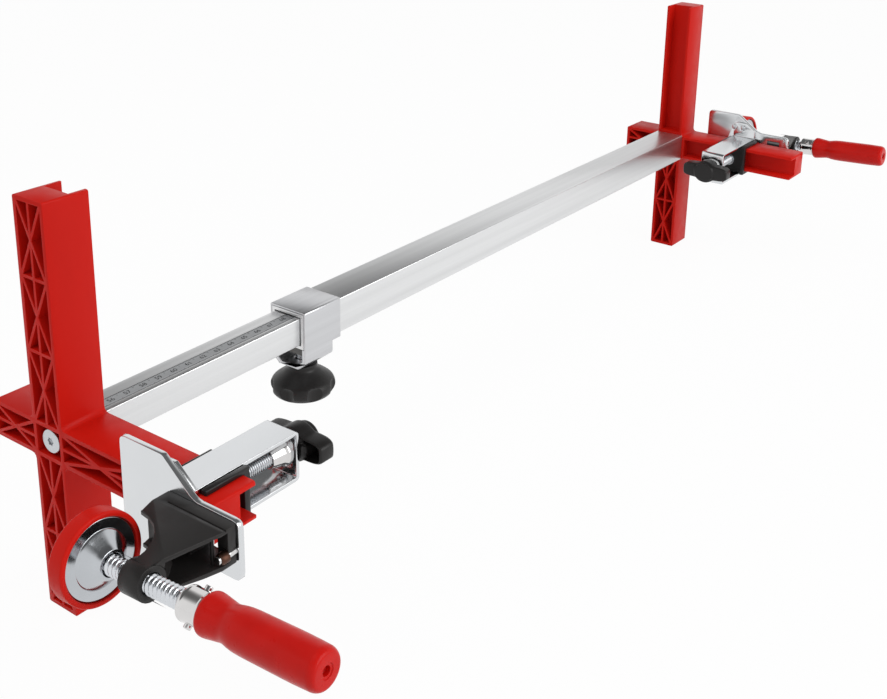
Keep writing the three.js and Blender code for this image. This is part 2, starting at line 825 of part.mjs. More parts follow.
// Along the tilted spindle, a distance from the slider's centre towards the handle
// becomes a place: y falls, and z rises with the tilt.
function alongSpindle(solid) {
  return solid
    .rotate([-THREE.MathUtils.radToDeg(spindleTilt), 0, 0])
    .translate([-spindleOffset, 0, -spindleDrop]);
}

// The moulded arm: a base on the plate, two flanges with a web on the pad's side,
// and the boss that the spindle is threaded through.
function screwArmSolid() {
  const baseIn = plateOutside - seatGap;
  const baseOut = plateOutside - baseThickness;
  const bossX = -spindleOffset;
  const boss = alongSpindle(rod(bossRadius, 'y', -bossEnd, -bossStart));
  const side = [
    [-baseBottom, baseIn],
    [baseTop, baseIn],
    [baseTop, baseOut],
    [bossTopRise, bossX],
    [-bossRadius + outerRounding, bossX],
    [-baseBottom, -hookReach],
  ];
  const [farSide, bossSide] = [plateNose - outerRounding, bossEnd - outerRounding / 2];
  const plan = [
    [baseIn, baseTail, outerRounding / 2],
    [-hookDepth, baseTail, outerRounding / 2],
    [-hookReach, padClearanceCentre, outerRounding / 2],
    [bossX, padClearanceCentre],
    [bossX, -bossSide],
    [bossX + bossRadius, -bossSide],
    [baseOut, -farSide],
    [baseIn, -farSide, outerRounding],
  ];
  const low = -baseBottom - overrun;
  const high = baseTop + overrun;
  const roundNotch = (radius) => rod(radius, 'z', low, high).translate([bossX, padClearanceCentre, 0]);
  const body = cut(
    common(prism(side, 'y', -plateNose, baseTail + overrun), prism(plan, 'z', low, high)),
    roundNotch(padClearance),
  );
  const pocketSide = [
    [-baseBottom + flange, baseOut - armWeb],
    [baseTop - flange, baseOut - armWeb],
    [bossTopRise - flange, bossX + bossRadius],
    [-baseBottom + flange, bossX + bossRadius],
  ];
  const pocketPlan = rectangle(
    bossX + bossRadius, -plateNose - overrun, baseOut - armWeb / 2, baseTail - armWeb,
  );
  const betweenFlanges = prism(pocketSide, 'y', -plateNose - overrun, baseTail + overrun);
  const pocket = cut(
    common(betweenFlanges, prism(pocketPlan, 'z', low, high)),
    roundNotch(padClearance + notchOverhang + armWeb),
  );
  const notchPocket = common(betweenFlanges, roundNotch(padClearance + notchOverhang));
  const panelOut = plateOutside - endPanelDepth;
  const sideWindow = box(
    [baseOut - armWeb - overrun, -plateNose - overrun, -baseBottom + flange],
    [panelOut, -windowInner, baseTop - flange],
  );
  const plateWindow = box(
    [panelOut - overrun, -windowOuter, -baseBottom + flange],
    [baseIn + overrun, -windowInner, windowHigh],
  );
  const postSide = -studPlace + armNutRadius + runGap;
  const post = box(
    [baseOut - postWidth, postSide, -baseBottom + flange / 2],
    [baseOut, postSide + postWidth, baseTop - flange / 2],
  );
  const topGroove = box(
    [baseOut + topGroovePlace, -plateNose - overrun, baseTop - topGrooveDepth],
    [baseOut + topGroovePlace + topGrooveWidth, -padClearanceCentre - flange, baseTop + overrun],
  );
  const bore = alongSpindle(rod(threadRadius + boreClearance, 'y', -bossEnd - overrun, -bossStart + overrun));
  const studHole = rod(armStudRadius + seatGap, 'x', panelOut - overrun, 0, smallSteps)
    .translate([0, -studPlace, -studDrop]);
  const frame = cut(body, pocket, notchPocket, sideWindow, plateWindow);
  return cut(join(frame, boss, post), topGroove, bore, studHole);
}

const nutSeat = plateOutside - endPanelDepth - seatGap;
function armStudSolid() {
  return rod(armStudRadius, 'x', nutSeat - armStudLength + endPanelDepth, plateInside, smallSteps)
    .translate([0, -studPlace, -studDrop]);
}

function armNutSolid() {
  const bore = armStudRadius + seatGap;
  const crown = nutSeat - armNutHeight;
  return turned([
    [bore, nutSeat],
    [armNutRadius, nutSeat],
    [armNutRadius, nutSeat - armNutCrownHeight],
    [armNutCrownRadius, crown],
    [bore, crown],
    [bore, nutSeat],
  ], 'x', smallSteps).translate([0, -studPlace, -studDrop]);
}

// The spindle's pieces, along y with the handle at -y

function spindleSolid() {
  const grooveStart = ballLength;
  const threadStart = grooveStart + grooveLength;
  const tangStart = ferruleStart + tangSetback;
  const chamfer = threadRadius - grooveRadius;
  const body = turned([
    [0, 0],
    [ballTipRadius, 0],
    [ballRadius, -ballRounding],
    [ballRadius, ballRounding - ballLength],
    [grooveRadius, -grooveStart],
    [grooveRadius, -threadStart],
    [threadRadius, -threadStart - chamfer],
    [threadRadius, -tangStart],
    [tangRadius, -tangStart],
    [tangRadius, -tangEnd],
    [0, -tangEnd],
  ], 'y');
  return cut(body, pinSolid(pinRadius + seatGap, pinLength));
}

function pinSolid(radius, length) {
  return rod(radius, 'x', -length / 2, length / 2, smallSteps)
    .rotate([0, THREE.MathUtils.radToDeg(pinTurn), 0])
    .translate([0, -(ferruleStart + ferruleEnd) / 2, 0]);
}

function retainerSolid() {
  const start = ballLength + (grooveLength - retainerThickness) / 2;
  return sleeve(grooveRadius + 2 * seatGap, retainerRadius, 'y', -start - retainerThickness, -start);
}

// Shares of the dome's shoulder radius and height at which its outline is given.
const domeShares = [[0.8, 0.48], [0.6, 0.8]];

// The pressure plate: a pressed steel dome with a flat rim.
function domeSolid() {
  const seat = padSeat - seatGap;
  return turned([
    [domeBore, seat],
    [domeRadius, seat],
    [domeRadius, seat - domeFlange],
    [domeShoulderRadius, seat - domeFlange],
    ...domeShares.map(([radius, height]) => [radius * domeShoulderRadius, -height * domeHeight]),
    [domeNeckRadius, -domeHeight],
    [domeBore, -domeHeight],
    [domeBore, seat],
  ], 'y');
}

// The soft-faced cap that the pressure plate sits in.
function padCapSolid() {
  return turned([
    [0, padFace],
    [padRadius - padRounding, padFace],
    [padRadius, padFace - padRounding],
    [padRadius, -padRim + padRounding],
    [padRadius - padRounding / 2, -padRim],
    [padRecessRadius, -padRim],
    [padRecessRadius, padSeat],
    [0, padSeat],
  ], 'y');
}

function ferruleSolid() {
  const lip = outerRounding / 2;
  const bore = threadRadius + seatGap;
  return cut(
    turned([
      [bore, -ferruleStart],
      [ferruleRadius - lip, -ferruleStart],
      [ferruleRadius, -ferruleStart - lip],
      [ferruleRadius, -ferruleEnd],
      [bore, -ferruleEnd],
      [bore, -ferruleStart],
    ], 'y'),
    pinSolid(pinRadius + seatGap, pinLength),
  );
}

// Shares of the handle's length at which its outline is given.
const shoulderShare = 0.01;
const bulgeShare = 0.045;
const waistShare = 0.2;
const barrelShare = 0.33;
const widestShare = 0.8;
const endShare = 0.965;
function handleSolid() {
  const start = ferruleEnd + seatGap;
  const length = handleEnd - start;
  const at = (share) => -start - share * length;
  const bore = tangRadius + seatGap;
  return turned([
    [0, -tangEnd - seatGap],
    [bore, -tangEnd - seatGap],
    [bore, -start],
    [handleShoulderRadius, -start],
    [(handleShoulderRadius + handleBulgeRadius) / 2, at(shoulderShare)],
    [handleBulgeRadius, at(bulgeShare)],
    [handleWaistRadius, at(waistShare)],
    [(handleWaistRadius + handleBarrelRadius) / 2, at((waistShare + barrelShare) / 2)],
    [handleBarrelRadius - handleCrown, at(barrelShare)],
    [handleBarrelRadius, at(widestShare)],
    [handleBarrelRadius - 2 * handleCrown, at(endShare)],
    [handleShoulderRadius, -handleEnd],
    [handleHoleRadius, -handleEnd],
    [handleHoleRadius, -handleEnd + handleHoleDepth],
    [0, -handleEnd + handleHoleDepth],
  ], 'y');
}

// Materials

function finish(color, roughness, metalness) {
  return new THREE.MeshStandardMaterial({ color, roughness, metalness });
}

const redPlastic = finish(0xc4241a, 0.45, 0);
const redLacquer = finish(0xc81c18, 0.3, 0);
const blackPlastic = finish(0x3a3835, 0.5, 0);
const aluminium = finish(0xc9cbcc, 0.35, 1);
const zincSteel = finish(0xd6d8da, 0.25, 1);
const chromedSteel = finish(0xcfd2d6, 0.12, 1);
const brownedSteel = finish(0x4a3028, 0.4, 1);
const scaleGrey = finish(0xa8aaab, 0.5, 0.4);
const greyNylon = finish(0x6b6b69, 0.6, 0);

// Assembly

const clamp = new THREE.Group();

function add(parent, name, solid, material, mirrored = false) {
  const mesh = new THREE.Mesh(geometryOf(solid, mirrored), material);
  mesh.name = name;
  parent.add(mesh);
  return mesh;
}

function frameAt(parent, x, y, z) {
  const frame = new THREE.Group();
  frame.position.set(x, y, z);
  parent.add(frame);
  return frame;
}

// One end of the clamp. The far end's pieces are mirrored in x and so are their places,
// but its plate and strip are the near ones turned half round the arm's centre line.
function addEnd(name, outerFace, mirrored, reach, advance) {
  const end = frameAt(clamp, outerFace, 0, 0);
  const put = (frame, piece, solid, material) => add(frame, `${name}_${piece}`, solid, material, mirrored);
  put(end, 'cross', crossSolid(), redPlastic);
  put(frameAt(end, 0, 0, armCentre), 'cross_screw', crossScrewSolid(), zincSteel);

  const slider = frameAt(end, 0, -reach, armCentre);
  const side = mirrored ? -1 : 1;
  const facing = mirrored ? [0, 180, 0] : [0, 0, 0];
  add(slider, `${name}_plate`, plateSolid(side).rotate(facing), zincSteel);
  add(slider, `${name}_bracket`, bracketSolid().rotate(facing), zincSteel);
  rivetPlaces().forEach(([y, z], i) => {
    put(frameAt(slider, 0, y, side * z), `rivet_${i + 1}`, rivetSolid(), zincSteel);
  });
  put(slider, 'liner', linerSolid(), blackPlastic);
  put(slider, 'bush', bushSolid(), chromedSteel);
  put(slider, 'thrust_pad', thrustPadSolid(), zincSteel);
  put(slider, 'lock_screw', lockScrewSolid(), zincSteel);
  put(slider, 'wing_knob', wingKnobSolid(), blackPlastic);
  put(slider, 'screw_arm', screwArmSolid(), blackPlastic);
  put(slider, 'arm_stud', armStudSolid(), chromedSteel);
  put(slider, 'arm_nut', armNutSolid(), brownedSteel);

  const axisX = mirrored ? spindleOffset : -spindleOffset;
  const axis = frameAt(slider, axisX, 0, -spindleDrop);
  axis.rotation.x = -spindleTilt;
  const spindle = frameAt(axis, 0, advance, 0);
  put(spindle, 'spindle', spindleSolid(), chromedSteel);
  put(spindle, 'pad_retainer', retainerSolid(), zincSteel);
  put(spindle, 'pressure_plate', domeSolid(), chromedSteel);
  put(spindle, 'pad_cap', padCapSolid(), redPlastic);
  put(spindle, 'ferrule', ferruleSolid(), chromedSteel);
  put(spindle, 'cross_pin', pinSolid(pinRadius, pinLength - outerRounding), chromedSteel);
  put(spindle, 'handle', handleSolid(), redLacquer);
}

addEnd('near', -halfDepth, false, nearReach, nearAdvance);
addEnd('far', overallSpan - halfDepth, true, farReach, farAdvance);

const bar = frameAt(clamp, 0, 0, armCentre);
add(bar, 'inner_profile', profileSolid(), aluminium);
add(bar, 'scale_strip', stripSolid(), scaleGrey);
add(bar, 'profile_end_plug', plugSolid(), greyNylon);
add(bar, 'outer_tube', tubeSolid(), aluminium);
add(bar, 'tube_insert', insertSolid(), greyNylon);
add(bar, 'collar', collarSolid(), aluminium);

const clampScrew = frameAt(bar, tubeStart + collarSkirtLength / 2, 0, 0);
add(clampScrew, 'clamp_shoe', shoeSolid(), greyNylon);
add(clampScrew, 'clamp_stud', clampStudSolid(), zincSteel);
add(clampScrew, 'clamp_knob', clampKnobSolid(), blackPlastic);

export default clamp;
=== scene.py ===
import json
import math

import bmesh
import bpy
import numpy as np
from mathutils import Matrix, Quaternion, Vector

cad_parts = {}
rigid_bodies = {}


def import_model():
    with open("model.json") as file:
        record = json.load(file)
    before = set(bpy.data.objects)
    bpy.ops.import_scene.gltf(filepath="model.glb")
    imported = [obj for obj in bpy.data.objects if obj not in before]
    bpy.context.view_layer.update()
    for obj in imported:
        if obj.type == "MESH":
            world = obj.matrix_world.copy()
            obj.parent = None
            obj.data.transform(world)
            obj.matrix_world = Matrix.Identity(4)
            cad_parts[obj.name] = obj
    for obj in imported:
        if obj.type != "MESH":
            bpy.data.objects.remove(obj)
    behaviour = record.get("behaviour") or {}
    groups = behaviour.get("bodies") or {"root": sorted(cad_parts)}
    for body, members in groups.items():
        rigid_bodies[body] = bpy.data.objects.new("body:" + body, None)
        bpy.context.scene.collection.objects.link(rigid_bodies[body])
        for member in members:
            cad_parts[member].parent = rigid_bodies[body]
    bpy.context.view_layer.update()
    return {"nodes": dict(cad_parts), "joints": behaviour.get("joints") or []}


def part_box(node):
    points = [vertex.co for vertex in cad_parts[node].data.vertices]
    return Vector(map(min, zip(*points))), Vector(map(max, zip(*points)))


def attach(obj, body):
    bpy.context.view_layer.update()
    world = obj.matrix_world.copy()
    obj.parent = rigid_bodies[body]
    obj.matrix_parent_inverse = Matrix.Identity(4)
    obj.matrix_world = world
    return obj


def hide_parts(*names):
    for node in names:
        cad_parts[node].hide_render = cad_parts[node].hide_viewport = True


for left_over in list(bpy.data.objects):
    bpy.data.objects.remove(left_over)
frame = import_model()

# The studio: a plain pale floor under the two feet, a white surround, one large soft
# lamp on the side of the long arms, one over the bar that the metals don't mirror, and
# the camera.
FLOOR_HALF = 6.0
FLOOR_GREY = 0.90
FLOOR_LIFT_SHARE = 0.95
SURROUND_LIGHT = 0.52
CEILING_START, CEILING_END, CEILING_LIGHT = 0.50, 0.74, 0.14
LAMPS = {
    "side_lamp": ((0.55, -1.9, 0.95), 1.6, 21.0),
    "top_lamp": ((-0.6, 0.2, 2.1), 1.4, 11.0),
}
LAMP_AIM = Vector((0.3, -0.05, 0.1))
CAMERA_PLACE = Vector((-0.3170, -0.4505, 0.3923))
CAMERA_YAW, CAMERA_PITCH, CAMERA_ROLL = map(math.radians, (35.59, 17.72, 1.22))
CAMERA_LENS, CAMERA_SENSOR = 49.96, 36.0
CAMERA_SHIFT = (-0.016, -0.2)
CAMERA_REACH = (0.01, 20.0)
WHITE = (1.0, 1.0, 1.0, 1.0)


def seen_directly(tree):
    """1 for a ray that comes from the camera or off metal or through glass, else 0."""
    path = tree.nodes.new("ShaderNodeLightPath")
    shiny = tree.nodes.new("ShaderNodeMath")
    either = tree.nodes.new("ShaderNodeMath")
    shiny.operation = either.operation = "MAXIMUM"
    tree.links.new(path.outputs["Is Glossy Ray"], shiny.inputs[0])
    tree.links.new(path.outputs["Is Transmission Ray"], shiny.inputs[1])
    tree.links.new(path.outputs["Is Camera Ray"], either.inputs[0])
    tree.links.new(shiny.outputs[0], either.inputs[1])
    return either.outputs[0]


def mixed(tree, factor, plain, seen, output):
    """Links the plain shader, or the seen one for the rays that the factor marks."""
    mix = tree.nodes.new("ShaderNodeMixShader")
    tree.links.new(factor, mix.inputs[0])
    tree.links.new(plain.outputs[0], mix.inputs[1])
    tree.links.new(seen.outputs[0], mix.inputs[2])
    tree.links.new(mix.outputs[0], output)


surround = bpy.data.worlds.new("surround")
surround.use_nodes = True
sky = surround.node_tree
sky.nodes.clear()
sky_output = sky.nodes.new("ShaderNodeOutputWorld")
sky_light = sky.nodes.new("ShaderNodeBackground")
sky_light.inputs["Color"].default_value = WHITE
sky_light.inputs["Strength"].default_value = SURROUND_LIGHT
sky_seen = sky.nodes.new("ShaderNodeBackground")
sky_seen.inputs["Color"].default_value = WHITE
# White walls up to a darker ceiling: the height of a ray's direction sets the step
sky_place = sky.nodes.new("ShaderNodeTexCoord")
sky_height = sky.nodes.new("ShaderNodeSeparateXYZ")
sky_step = sky.nodes.new("ShaderNodeMapRange")
sky_step.interpolation_type = "SMOOTHSTEP"
for socket, number in (("From Min", CEILING_START), ("From Max", CEILING_END),
                       ("To Min", 1.0), ("To Max", CEILING_LIGHT)):
    sky_step.inputs[socket].default_value = number
sky.links.new(sky_place.outputs["Generated"], sky_height.inputs[0])
sky.links.new(sky_height.outputs["Z"], sky_step.inputs["Value"])
sky.links.new(sky_step.outputs[0], sky_seen.inputs["Strength"])
mixed(sky, seen_directly(sky), sky_light, sky_seen, sky_output.inputs["Surface"])
bpy.context.scene.world = surround

floor_finish = bpy.data.materials.new("pale_floor")
floor_finish.use_nodes = True
ground = floor_finish.node_tree
ground.nodes.clear()
ground_output = ground.nodes.new("ShaderNodeOutputMaterial")
ground_matte = ground.nodes.new("ShaderNodeBsdfDiffuse")
ground_matte.inputs["Color"].default_value = (FLOOR_GREY, FLOOR_GREY, FLOOR_GREY, 1.0)
ground_white = ground.nodes.new("ShaderNodeEmission")
ground_share = ground.nodes.new("ShaderNodeMath")
ground_share.operation = "MULTIPLY"
ground_share.inputs[1].default_value = FLOOR_LIFT_SHARE
ground.links.new(seen_directly(ground), ground_share.inputs[0])
mixed(ground, ground_share.outputs[0], ground_matte, ground_white, ground_output.inputs["Surface"])
floor_mesh = bpy.data.meshes.new("floor")
floor_mesh.from_pydata(
    [(x, y, 0.0) for x, y in ((-1, -1), (1, -1), (1, 1), (-1, 1))], [], [(0, 1, 2, 3)]
)
floor_mesh.transform(Matrix.Scale(FLOOR_HALF, 4))
floor_mesh.materials.append(floor_finish)
floor = bpy.data.objects.new("floor", floor_mesh)
bpy.context.collection.objects.link(floor)

for lamp_name, (place, width, power) in LAMPS.items():
    lamp = bpy.data.lights.new(lamp_name, "AREA")
    lamp.size, lamp.energy = width, power
    holder = bpy.data.objects.new(lamp_name, lamp)
    holder.location = place
    holder.visible_glossy = lamp_name != "top_lamp"
    holder.rotation_euler = (LAMP_AIM - Vector(place)).to_track_quat("-Z", "Y").to_euler()
    bpy.context.collection.objects.link(holder)

view = bpy.data.cameras.new("view")
view.lens, view.sensor_width = CAMERA_LENS, CAMERA_SENSOR
view.shift_x, view.shift_y = CAMERA_SHIFT
view.clip_start, view.clip_end = CAMERA_REACH
camera = bpy.data.objects.new("view", view)
camera.location = CAMERA_PLACE
sight = Vector((
    math.cos(CAMERA_PITCH) * math.cos(CAMERA_YAW),
    math.cos(CAMERA_PITCH) * math.sin(CAMERA_YAW),
    -math.sin(CAMERA_PITCH),
))
camera.rotation_euler = (
    sight.to_track_quat("-Z", "Y") @ Quaternion((0, 0, 1), CAMERA_ROLL)
).to_euler()
bpy.context.collection.objects.link(camera)
bpy.context.scene.camera = camera
bpy.context.scene.view_settings.view_transform = "Standard"

# The two crosses are injection moulded in red glass-filled nylon: ribbed pockets in the
# outer face and an open channel on the bar's side. Their edges are eased by the mould.
RED = (0.580, 0.010, 0.005)
CROSS_EASING = 0.00035
SAME_PLACE = 1e-6
FLAT = math.radians(1.0)
CREASE = math.radians(35.0)
# The two ends, with the direction along X in which each looks at the other
ENDS = {"near": 1.0, "far": -1.0}


def bare_finish(name, metallic=0.0, **steady):
    """A material with its shader, the sockets that are steady all over set on it, and
    the coordinates that its patterns are laid out in."""
    material = bpy.data.materials.new(name)
    material.use_nodes = True
    tree = material.node_tree
    shader = tree.nodes["Principled BSDF"]
    shader.inputs["Metallic"].default_value = metallic
    for socket, value in steady.items():
        shader.inputs[socket.replace("_", " ")].default_value = value
    place = tree.nodes.new("ShaderNodeTexCoord").outputs["Object"]
    return material, tree, shader, place


def speckle(tree, place, scale, stretch=(1.0, 1.0, 1.0), detail=3.0):
    """Noise between 0 and 1, with so many specks to the metre, drawn out by a stretch."""
    mapping = tree.nodes.new("ShaderNodeMapping")
    mapping.inputs["Scale"].default_value = [1.0 / share for share in stretch]
    tree.links.new(place, mapping.inputs["Vector"])
    noise = tree.nodes.new("ShaderNodeTexNoise")
    noise.inputs["Scale"].default_value = scale
    noise.inputs["Detail"].default_value = detail
    tree.links.new(mapping.outputs[0], noise.inputs["Vector"])
    return noise.outputs["Fac"]


def spread(tree, value, low, high):
    """The middle of a noise's range, opened out to run from low to high."""
    change = tree.nodes.new("ShaderNodeMapRange")
    for socket, number in zip(("From Min", "From Max", "To Min", "To Max"), (0.3, 0.7, low, high)):
        change.inputs[socket].default_value = number
    tree.links.new(value, change.inputs["Value"])
    return change.outputs[0]


def tinted(tree, value, shader, first, second):
    """Base colour between two tints, by a noise."""
    mix = tree.nodes.new("ShaderNodeMix")
    mix.data_type = "RGBA"
    mix.inputs["A"].default_value = (*first, 1.0)
    mix.inputs["B"].default_value = (*second, 1.0)
    tree.links.new(spread(tree, value, 0.0, 1.0), mix.inputs["Factor"])
    tree.links.new(mix.outputs["Result"], shader.inputs["Base Color"])


def relief(tree, value, shader, depth):
    """A fine relief of so many metres, by a noise."""
    bump = tree.nodes.new("ShaderNodeBump")
    bump.inputs["Distance"].default_value = depth
    bump.inputs["Strength"].default_value = 1.0
    tree.links.new(value, bump.inputs["Height"])
    tree.links.new(bump.outputs[0], shader.inputs["Normal"])


def scaled(colour, share):
    """The colour, darker or lighter by a share."""
    return tuple(channel * share for channel in colour)


def moulded(name, colour, dull, bright, grain=0.000012, gloss=0.1):
    """Moulded plastic: slow flow marks in its colour, a faint grain, and a sheen that
    wanders between bright and dull."""
    material, tree, shader, place = bare_finish(name, IOR=1.5, Specular_IOR_Level=gloss)
    flow = speckle(tree, place, 22.0, stretch=(1.0, 1.0, 3.0))
    tinted(tree, flow, shader, scaled(colour, 0.93), scaled(colour, 1.06))
    sheen = speckle(tree, place, 160.0)
    tree.links.new(spread(tree, sheen, bright, dull), shader.inputs["Roughness"])
    relief(tree, speckle(tree, place, 2600.0, detail=2.0), shader, grain)
    return material


def placed(name, mesh, finish, body, slot, *nodes):
    """The mesh as a piece at the origin: it rides on a body and stands for CAD nodes."""
    mesh.materials.clear()
    mesh.materials.append(finish)
    piece = bpy.data.objects.new(name, mesh)
    bpy.context.collection.objects.link(piece)
    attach(piece, body)
    if nodes:
        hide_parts(*nodes)
    return piece


def eased_copy(node, finish, body, slot, easing, segments=2, clamped=False):
    """The node's own shape with its edges rounded: its loose triangles are merged into flat
    faces, and a bevel of the easing's width runs along each edge sharper than a crease.
    Where ribs meet in narrow corners, the bevel is clamped so that it doesn't cross itself."""
    mesh = frame["nodes"][node].data.copy()
    shape = bmesh.new()
    shape.from_mesh(mesh)
    bmesh.ops.remove_doubles(shape, verts=shape.verts, dist=SAME_PLACE)
    bmesh.ops.dissolve_limit(shape, angle_limit=FLAT, verts=shape.verts, edges=shape.edges)
    shape.to_mesh(mesh)
    shape.free()
    mesh.shade_smooth()
    piece = placed(f"{node}_eased", mesh, finish, body, slot, node)
    bevel = piece.modifiers.new("easing", "BEVEL")
    bevel.width, bevel.segments = easing, segments
    bevel.limit_method, bevel.angle_limit = "ANGLE", CREASE
    bevel.use_clamp_overlap = clamped
    bevel.harden_normals = True
    return piece


red_nylon = moulded("red_nylon", RED, 0.44, 0.34)
for end in ENDS:
    eased_copy(f"{end}_cross", red_nylon, f"{end}_frame", "red_moulding", CROSS_EASING, clamped=True)

# Each cross is held to the bar by one zinc-plated washer-head screw with a star socket,
# sunk a millimetre into the boss in the middle of the outer face.
ZINC = (0.56, 0.58, 0.60)
SCREW_EASING = 0.00015


def plated(name, colour, dull, bright, ripple=0.000004, cloud=0.06):
    """Plated steel: a cloudy tint from the bath, a sheen that wanders and a faint ripple."""
    material, tree, shader, place = bare_finish(name, metallic=1.0)
    clouds = speckle(tree, place, 70.0, detail=5.0)
    tinted(tree, clouds, shader, scaled(colour, 1 - cloud), scaled(colour, 1 + cloud))
    tree.links.new(spread(tree, clouds, bright, dull), shader.inputs["Roughness"])
    relief(tree, speckle(tree, place, 700.0, detail=2.0), shader, ripple)
    return material


zinc = plated("bright_zinc", ZINC, 0.3, 0.2)
for end in ENDS:
    eased_copy(f"{end}_cross_screw", zinc, f"{end}_frame", "zinc_steel", SCREW_EASING)

# The bar: an inner profile that slides in an outer tube, with a collar round the tube's
# end. All three are extruded aluminium, matt anodised, with faint lines along the draw.
ALUMINIUM = (0.75, 0.755, 0.76)
# The collar's grey is darker than the tube's: partly a duller finish of its own, partly painted shade
# that stands for the dim top of the collar.
COLLAR_GREY_AND_SHADE = (0.62, 0.625, 0.64)
BAR_EASING = 0.0002
COLLAR_EASING = 0.0006


def extruded(name, colour, dull, bright, line=0.000006):
    """Anodised extrusion: hair lines along X in its tint, its sheen and its relief."""
    material, tree, shader, place = bare_finish(name, metallic=1.0)
    lines = speckle(tree, place, 1500.0, stretch=(400.0, 1.0, 1.0), detail=4.0)
    bands = speckle(tree, place, 220.0, stretch=(60.0, 1.0, 1.0))
    tinted(tree, bands, shader, scaled(colour, 0.95), scaled(colour, 1.04))
    tree.links.new(spread(tree, lines, bright, dull), shader.inputs["Roughness"])
    relief(tree, lines, shader, line)
    return material


anodised = extruded("anodised_aluminium", ALUMINIUM, 0.42, 0.3)
eased_copy("inner_profile", anodised, "near_frame", "aluminium", BAR_EASING)
eased_copy("outer_tube", anodised, "far_frame", "aluminium", BAR_EASING)
# The collar gets the anodised lines on that darker grey, which is partly its own finish and partly
# painted shade for its dim top.
collar_finish_and_shade = extruded("collar_finish_and_shade", COLLAR_GREY_AND_SHADE, 0.4, 0.28)
eased_copy("collar", collar_finish_and_shade, "far_frame", "aluminium", COLLAR_EASING, segments=3)

# Inside the bar: a plug on the profile's end, the insert that the far cross's screw
# bites into, and the shoe that the clamp knob presses on the profile. All grey nylon.
NYLON_GREY = (0.15, 0.15, 0.145)
grey_nylon = moulded("grey_nylon", NYLON_GREY, 0.6, 0.5)
for node in ("profile_end_plug", "tube_insert", "clamp_shoe"):
    frame["nodes"][node].material_slots[0].material = grey_nylon

# The scale is a printed aluminium strip let into the profile's top. It is read from the
# long arms' side: a number at each centimetre, with millimetre marks along both edges.
SCALE_GREY = (0.42, 0.43, 0.44)
PRINT_INK = (0.030, 0.030, 0.032)
FIRST_NUMBER, LAST_NUMBER = 56, 99
FIRST_NUMBER_PLACE = 0.02267
CENTIMETRE, MILLIMETRE = 0.01, 0.001
DIGIT_HEIGHT = 0.0041
MARK_WIDTH = 0.00018
MARK_LENGTH = 0.0009
LONG_MARK_LENGTH = 0.0022
PRINT_HEIGHT = 0.00003


def printed_scale(low, high):
    """Numbers and marks as thin flat bodies on the strip whose box runs from low to high.
    Short marks are a millimetre apart, and each half centimetre has a long one."""
    ink = bmesh.new()
    top = high[2]
    middle = (low[1] + high[1]) / 2
    for number in range(FIRST_NUMBER, LAST_NUMBER + 1):
        writing = bpy.data.curves.new("number", "FONT")
        writing.body = str(number)
        writing.size = DIGIT_HEIGHT
        writing.extrude = PRINT_HEIGHT
        writing.align_x, writing.align_y = "CENTER", "CENTER"
        holder = bpy.data.objects.new("number", writing)
        digits = bpy.data.meshes.new_from_object(holder)
        place = FIRST_NUMBER_PLACE + (number - FIRST_NUMBER) * CENTIMETRE
        digits.transform(Matrix.Translation((place, middle, top)))
        ink.from_mesh(digits)
        bpy.data.objects.remove(holder)
        bpy.data.curves.remove(writing)
        bpy.data.meshes.remove(digits)
    steps = np.arange(round((high[0] - low[0]) / MILLIMETRE) - 1)
    places = low[0] + (steps + 1) * MILLIMETRE
    places += (FIRST_NUMBER_PLACE - places[0]) % MILLIMETRE
    halves = np.isclose((places - FIRST_NUMBER_PLACE) / CENTIMETRE % 1, 0.5, atol=0.02)
    lengths = np.where(halves, LONG_MARK_LENGTH, MARK_LENGTH)
    marks = [(x - MARK_WIDTH / 2, x + MARK_WIDTH / 2, high[1] - length, high[1])
             for x, length in zip(places, lengths)]
    marks += [(x - MARK_WIDTH / 2, x + MARK_WIDTH / 2, low[1], low[1] + MARK_LENGTH)
              for x in places[halves]]
    marks += [(low[0], high[0], y, y + MARK_WIDTH) for y in (low[1], high[1] - MARK_WIDTH)]
    for x0, x1, y0, y1 in marks:
        bmesh.ops.create_cube(ink, size=1.0, matrix=Matrix.Translation(
            ((x0 + x1) / 2, (y0 + y1) / 2, top)
        ) @ Matrix.Diagonal((x1 - x0, y1 - y0, 2 * PRINT_HEIGHT, 1.0)))
    mesh = bpy.data.meshes.new("scale_marks")
    ink.to_mesh(mesh)
    ink.free()
    return mesh


strip_finish = extruded("scale_print_grey", SCALE_GREY, 0.5, 0.4)
frame["nodes"]["scale_strip"].material_slots[0].material = strip_finish
ink_finish = moulded("print_ink", PRINT_INK, 0.5, 0.4, grain=0.000002)
placed("scale_marks", printed_scale(*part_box("scale_strip")), ink_finish, "near_frame", "scale_print")

# The clamp knob under the collar is a bell of black nylon with a scalloped rim, moulded
# on the head of a plated stud.
BLACK = (0.013, 0.012, 0.0118)
KNOB_RADIUS = 0.019
KNOB_SCALLOPS, SCALLOP_STEPS = 7, 40
SCALLOP_RADIUS, SCALLOP_CENTRE = 0.007, 0.0235
SCALLOP_TOP, SCALLOP_FADE = 0.0075, 0.0045
# The bell's outline: (radius, height over the rim's foot, rounding of that corner)
KNOB_OUTLINE = (
    (0.0, 0.0, 0.0), (0.0118, 0.0, 0.002), (0.0166, 0.0012, 0.002), (0.0188, 0.0042, 0.002),
    (0.0190, 0.0072, 0.002), (0.0180, 0.0098, 0.002), (0.0150, 0.0122, 0.002),
    (0.0112, 0.0148, 0.002), (0.0088, 0.0172, 0.001), (0.0086, 0.0200, 0.0004),
    (0.0, 0.0200, 0.0),
)


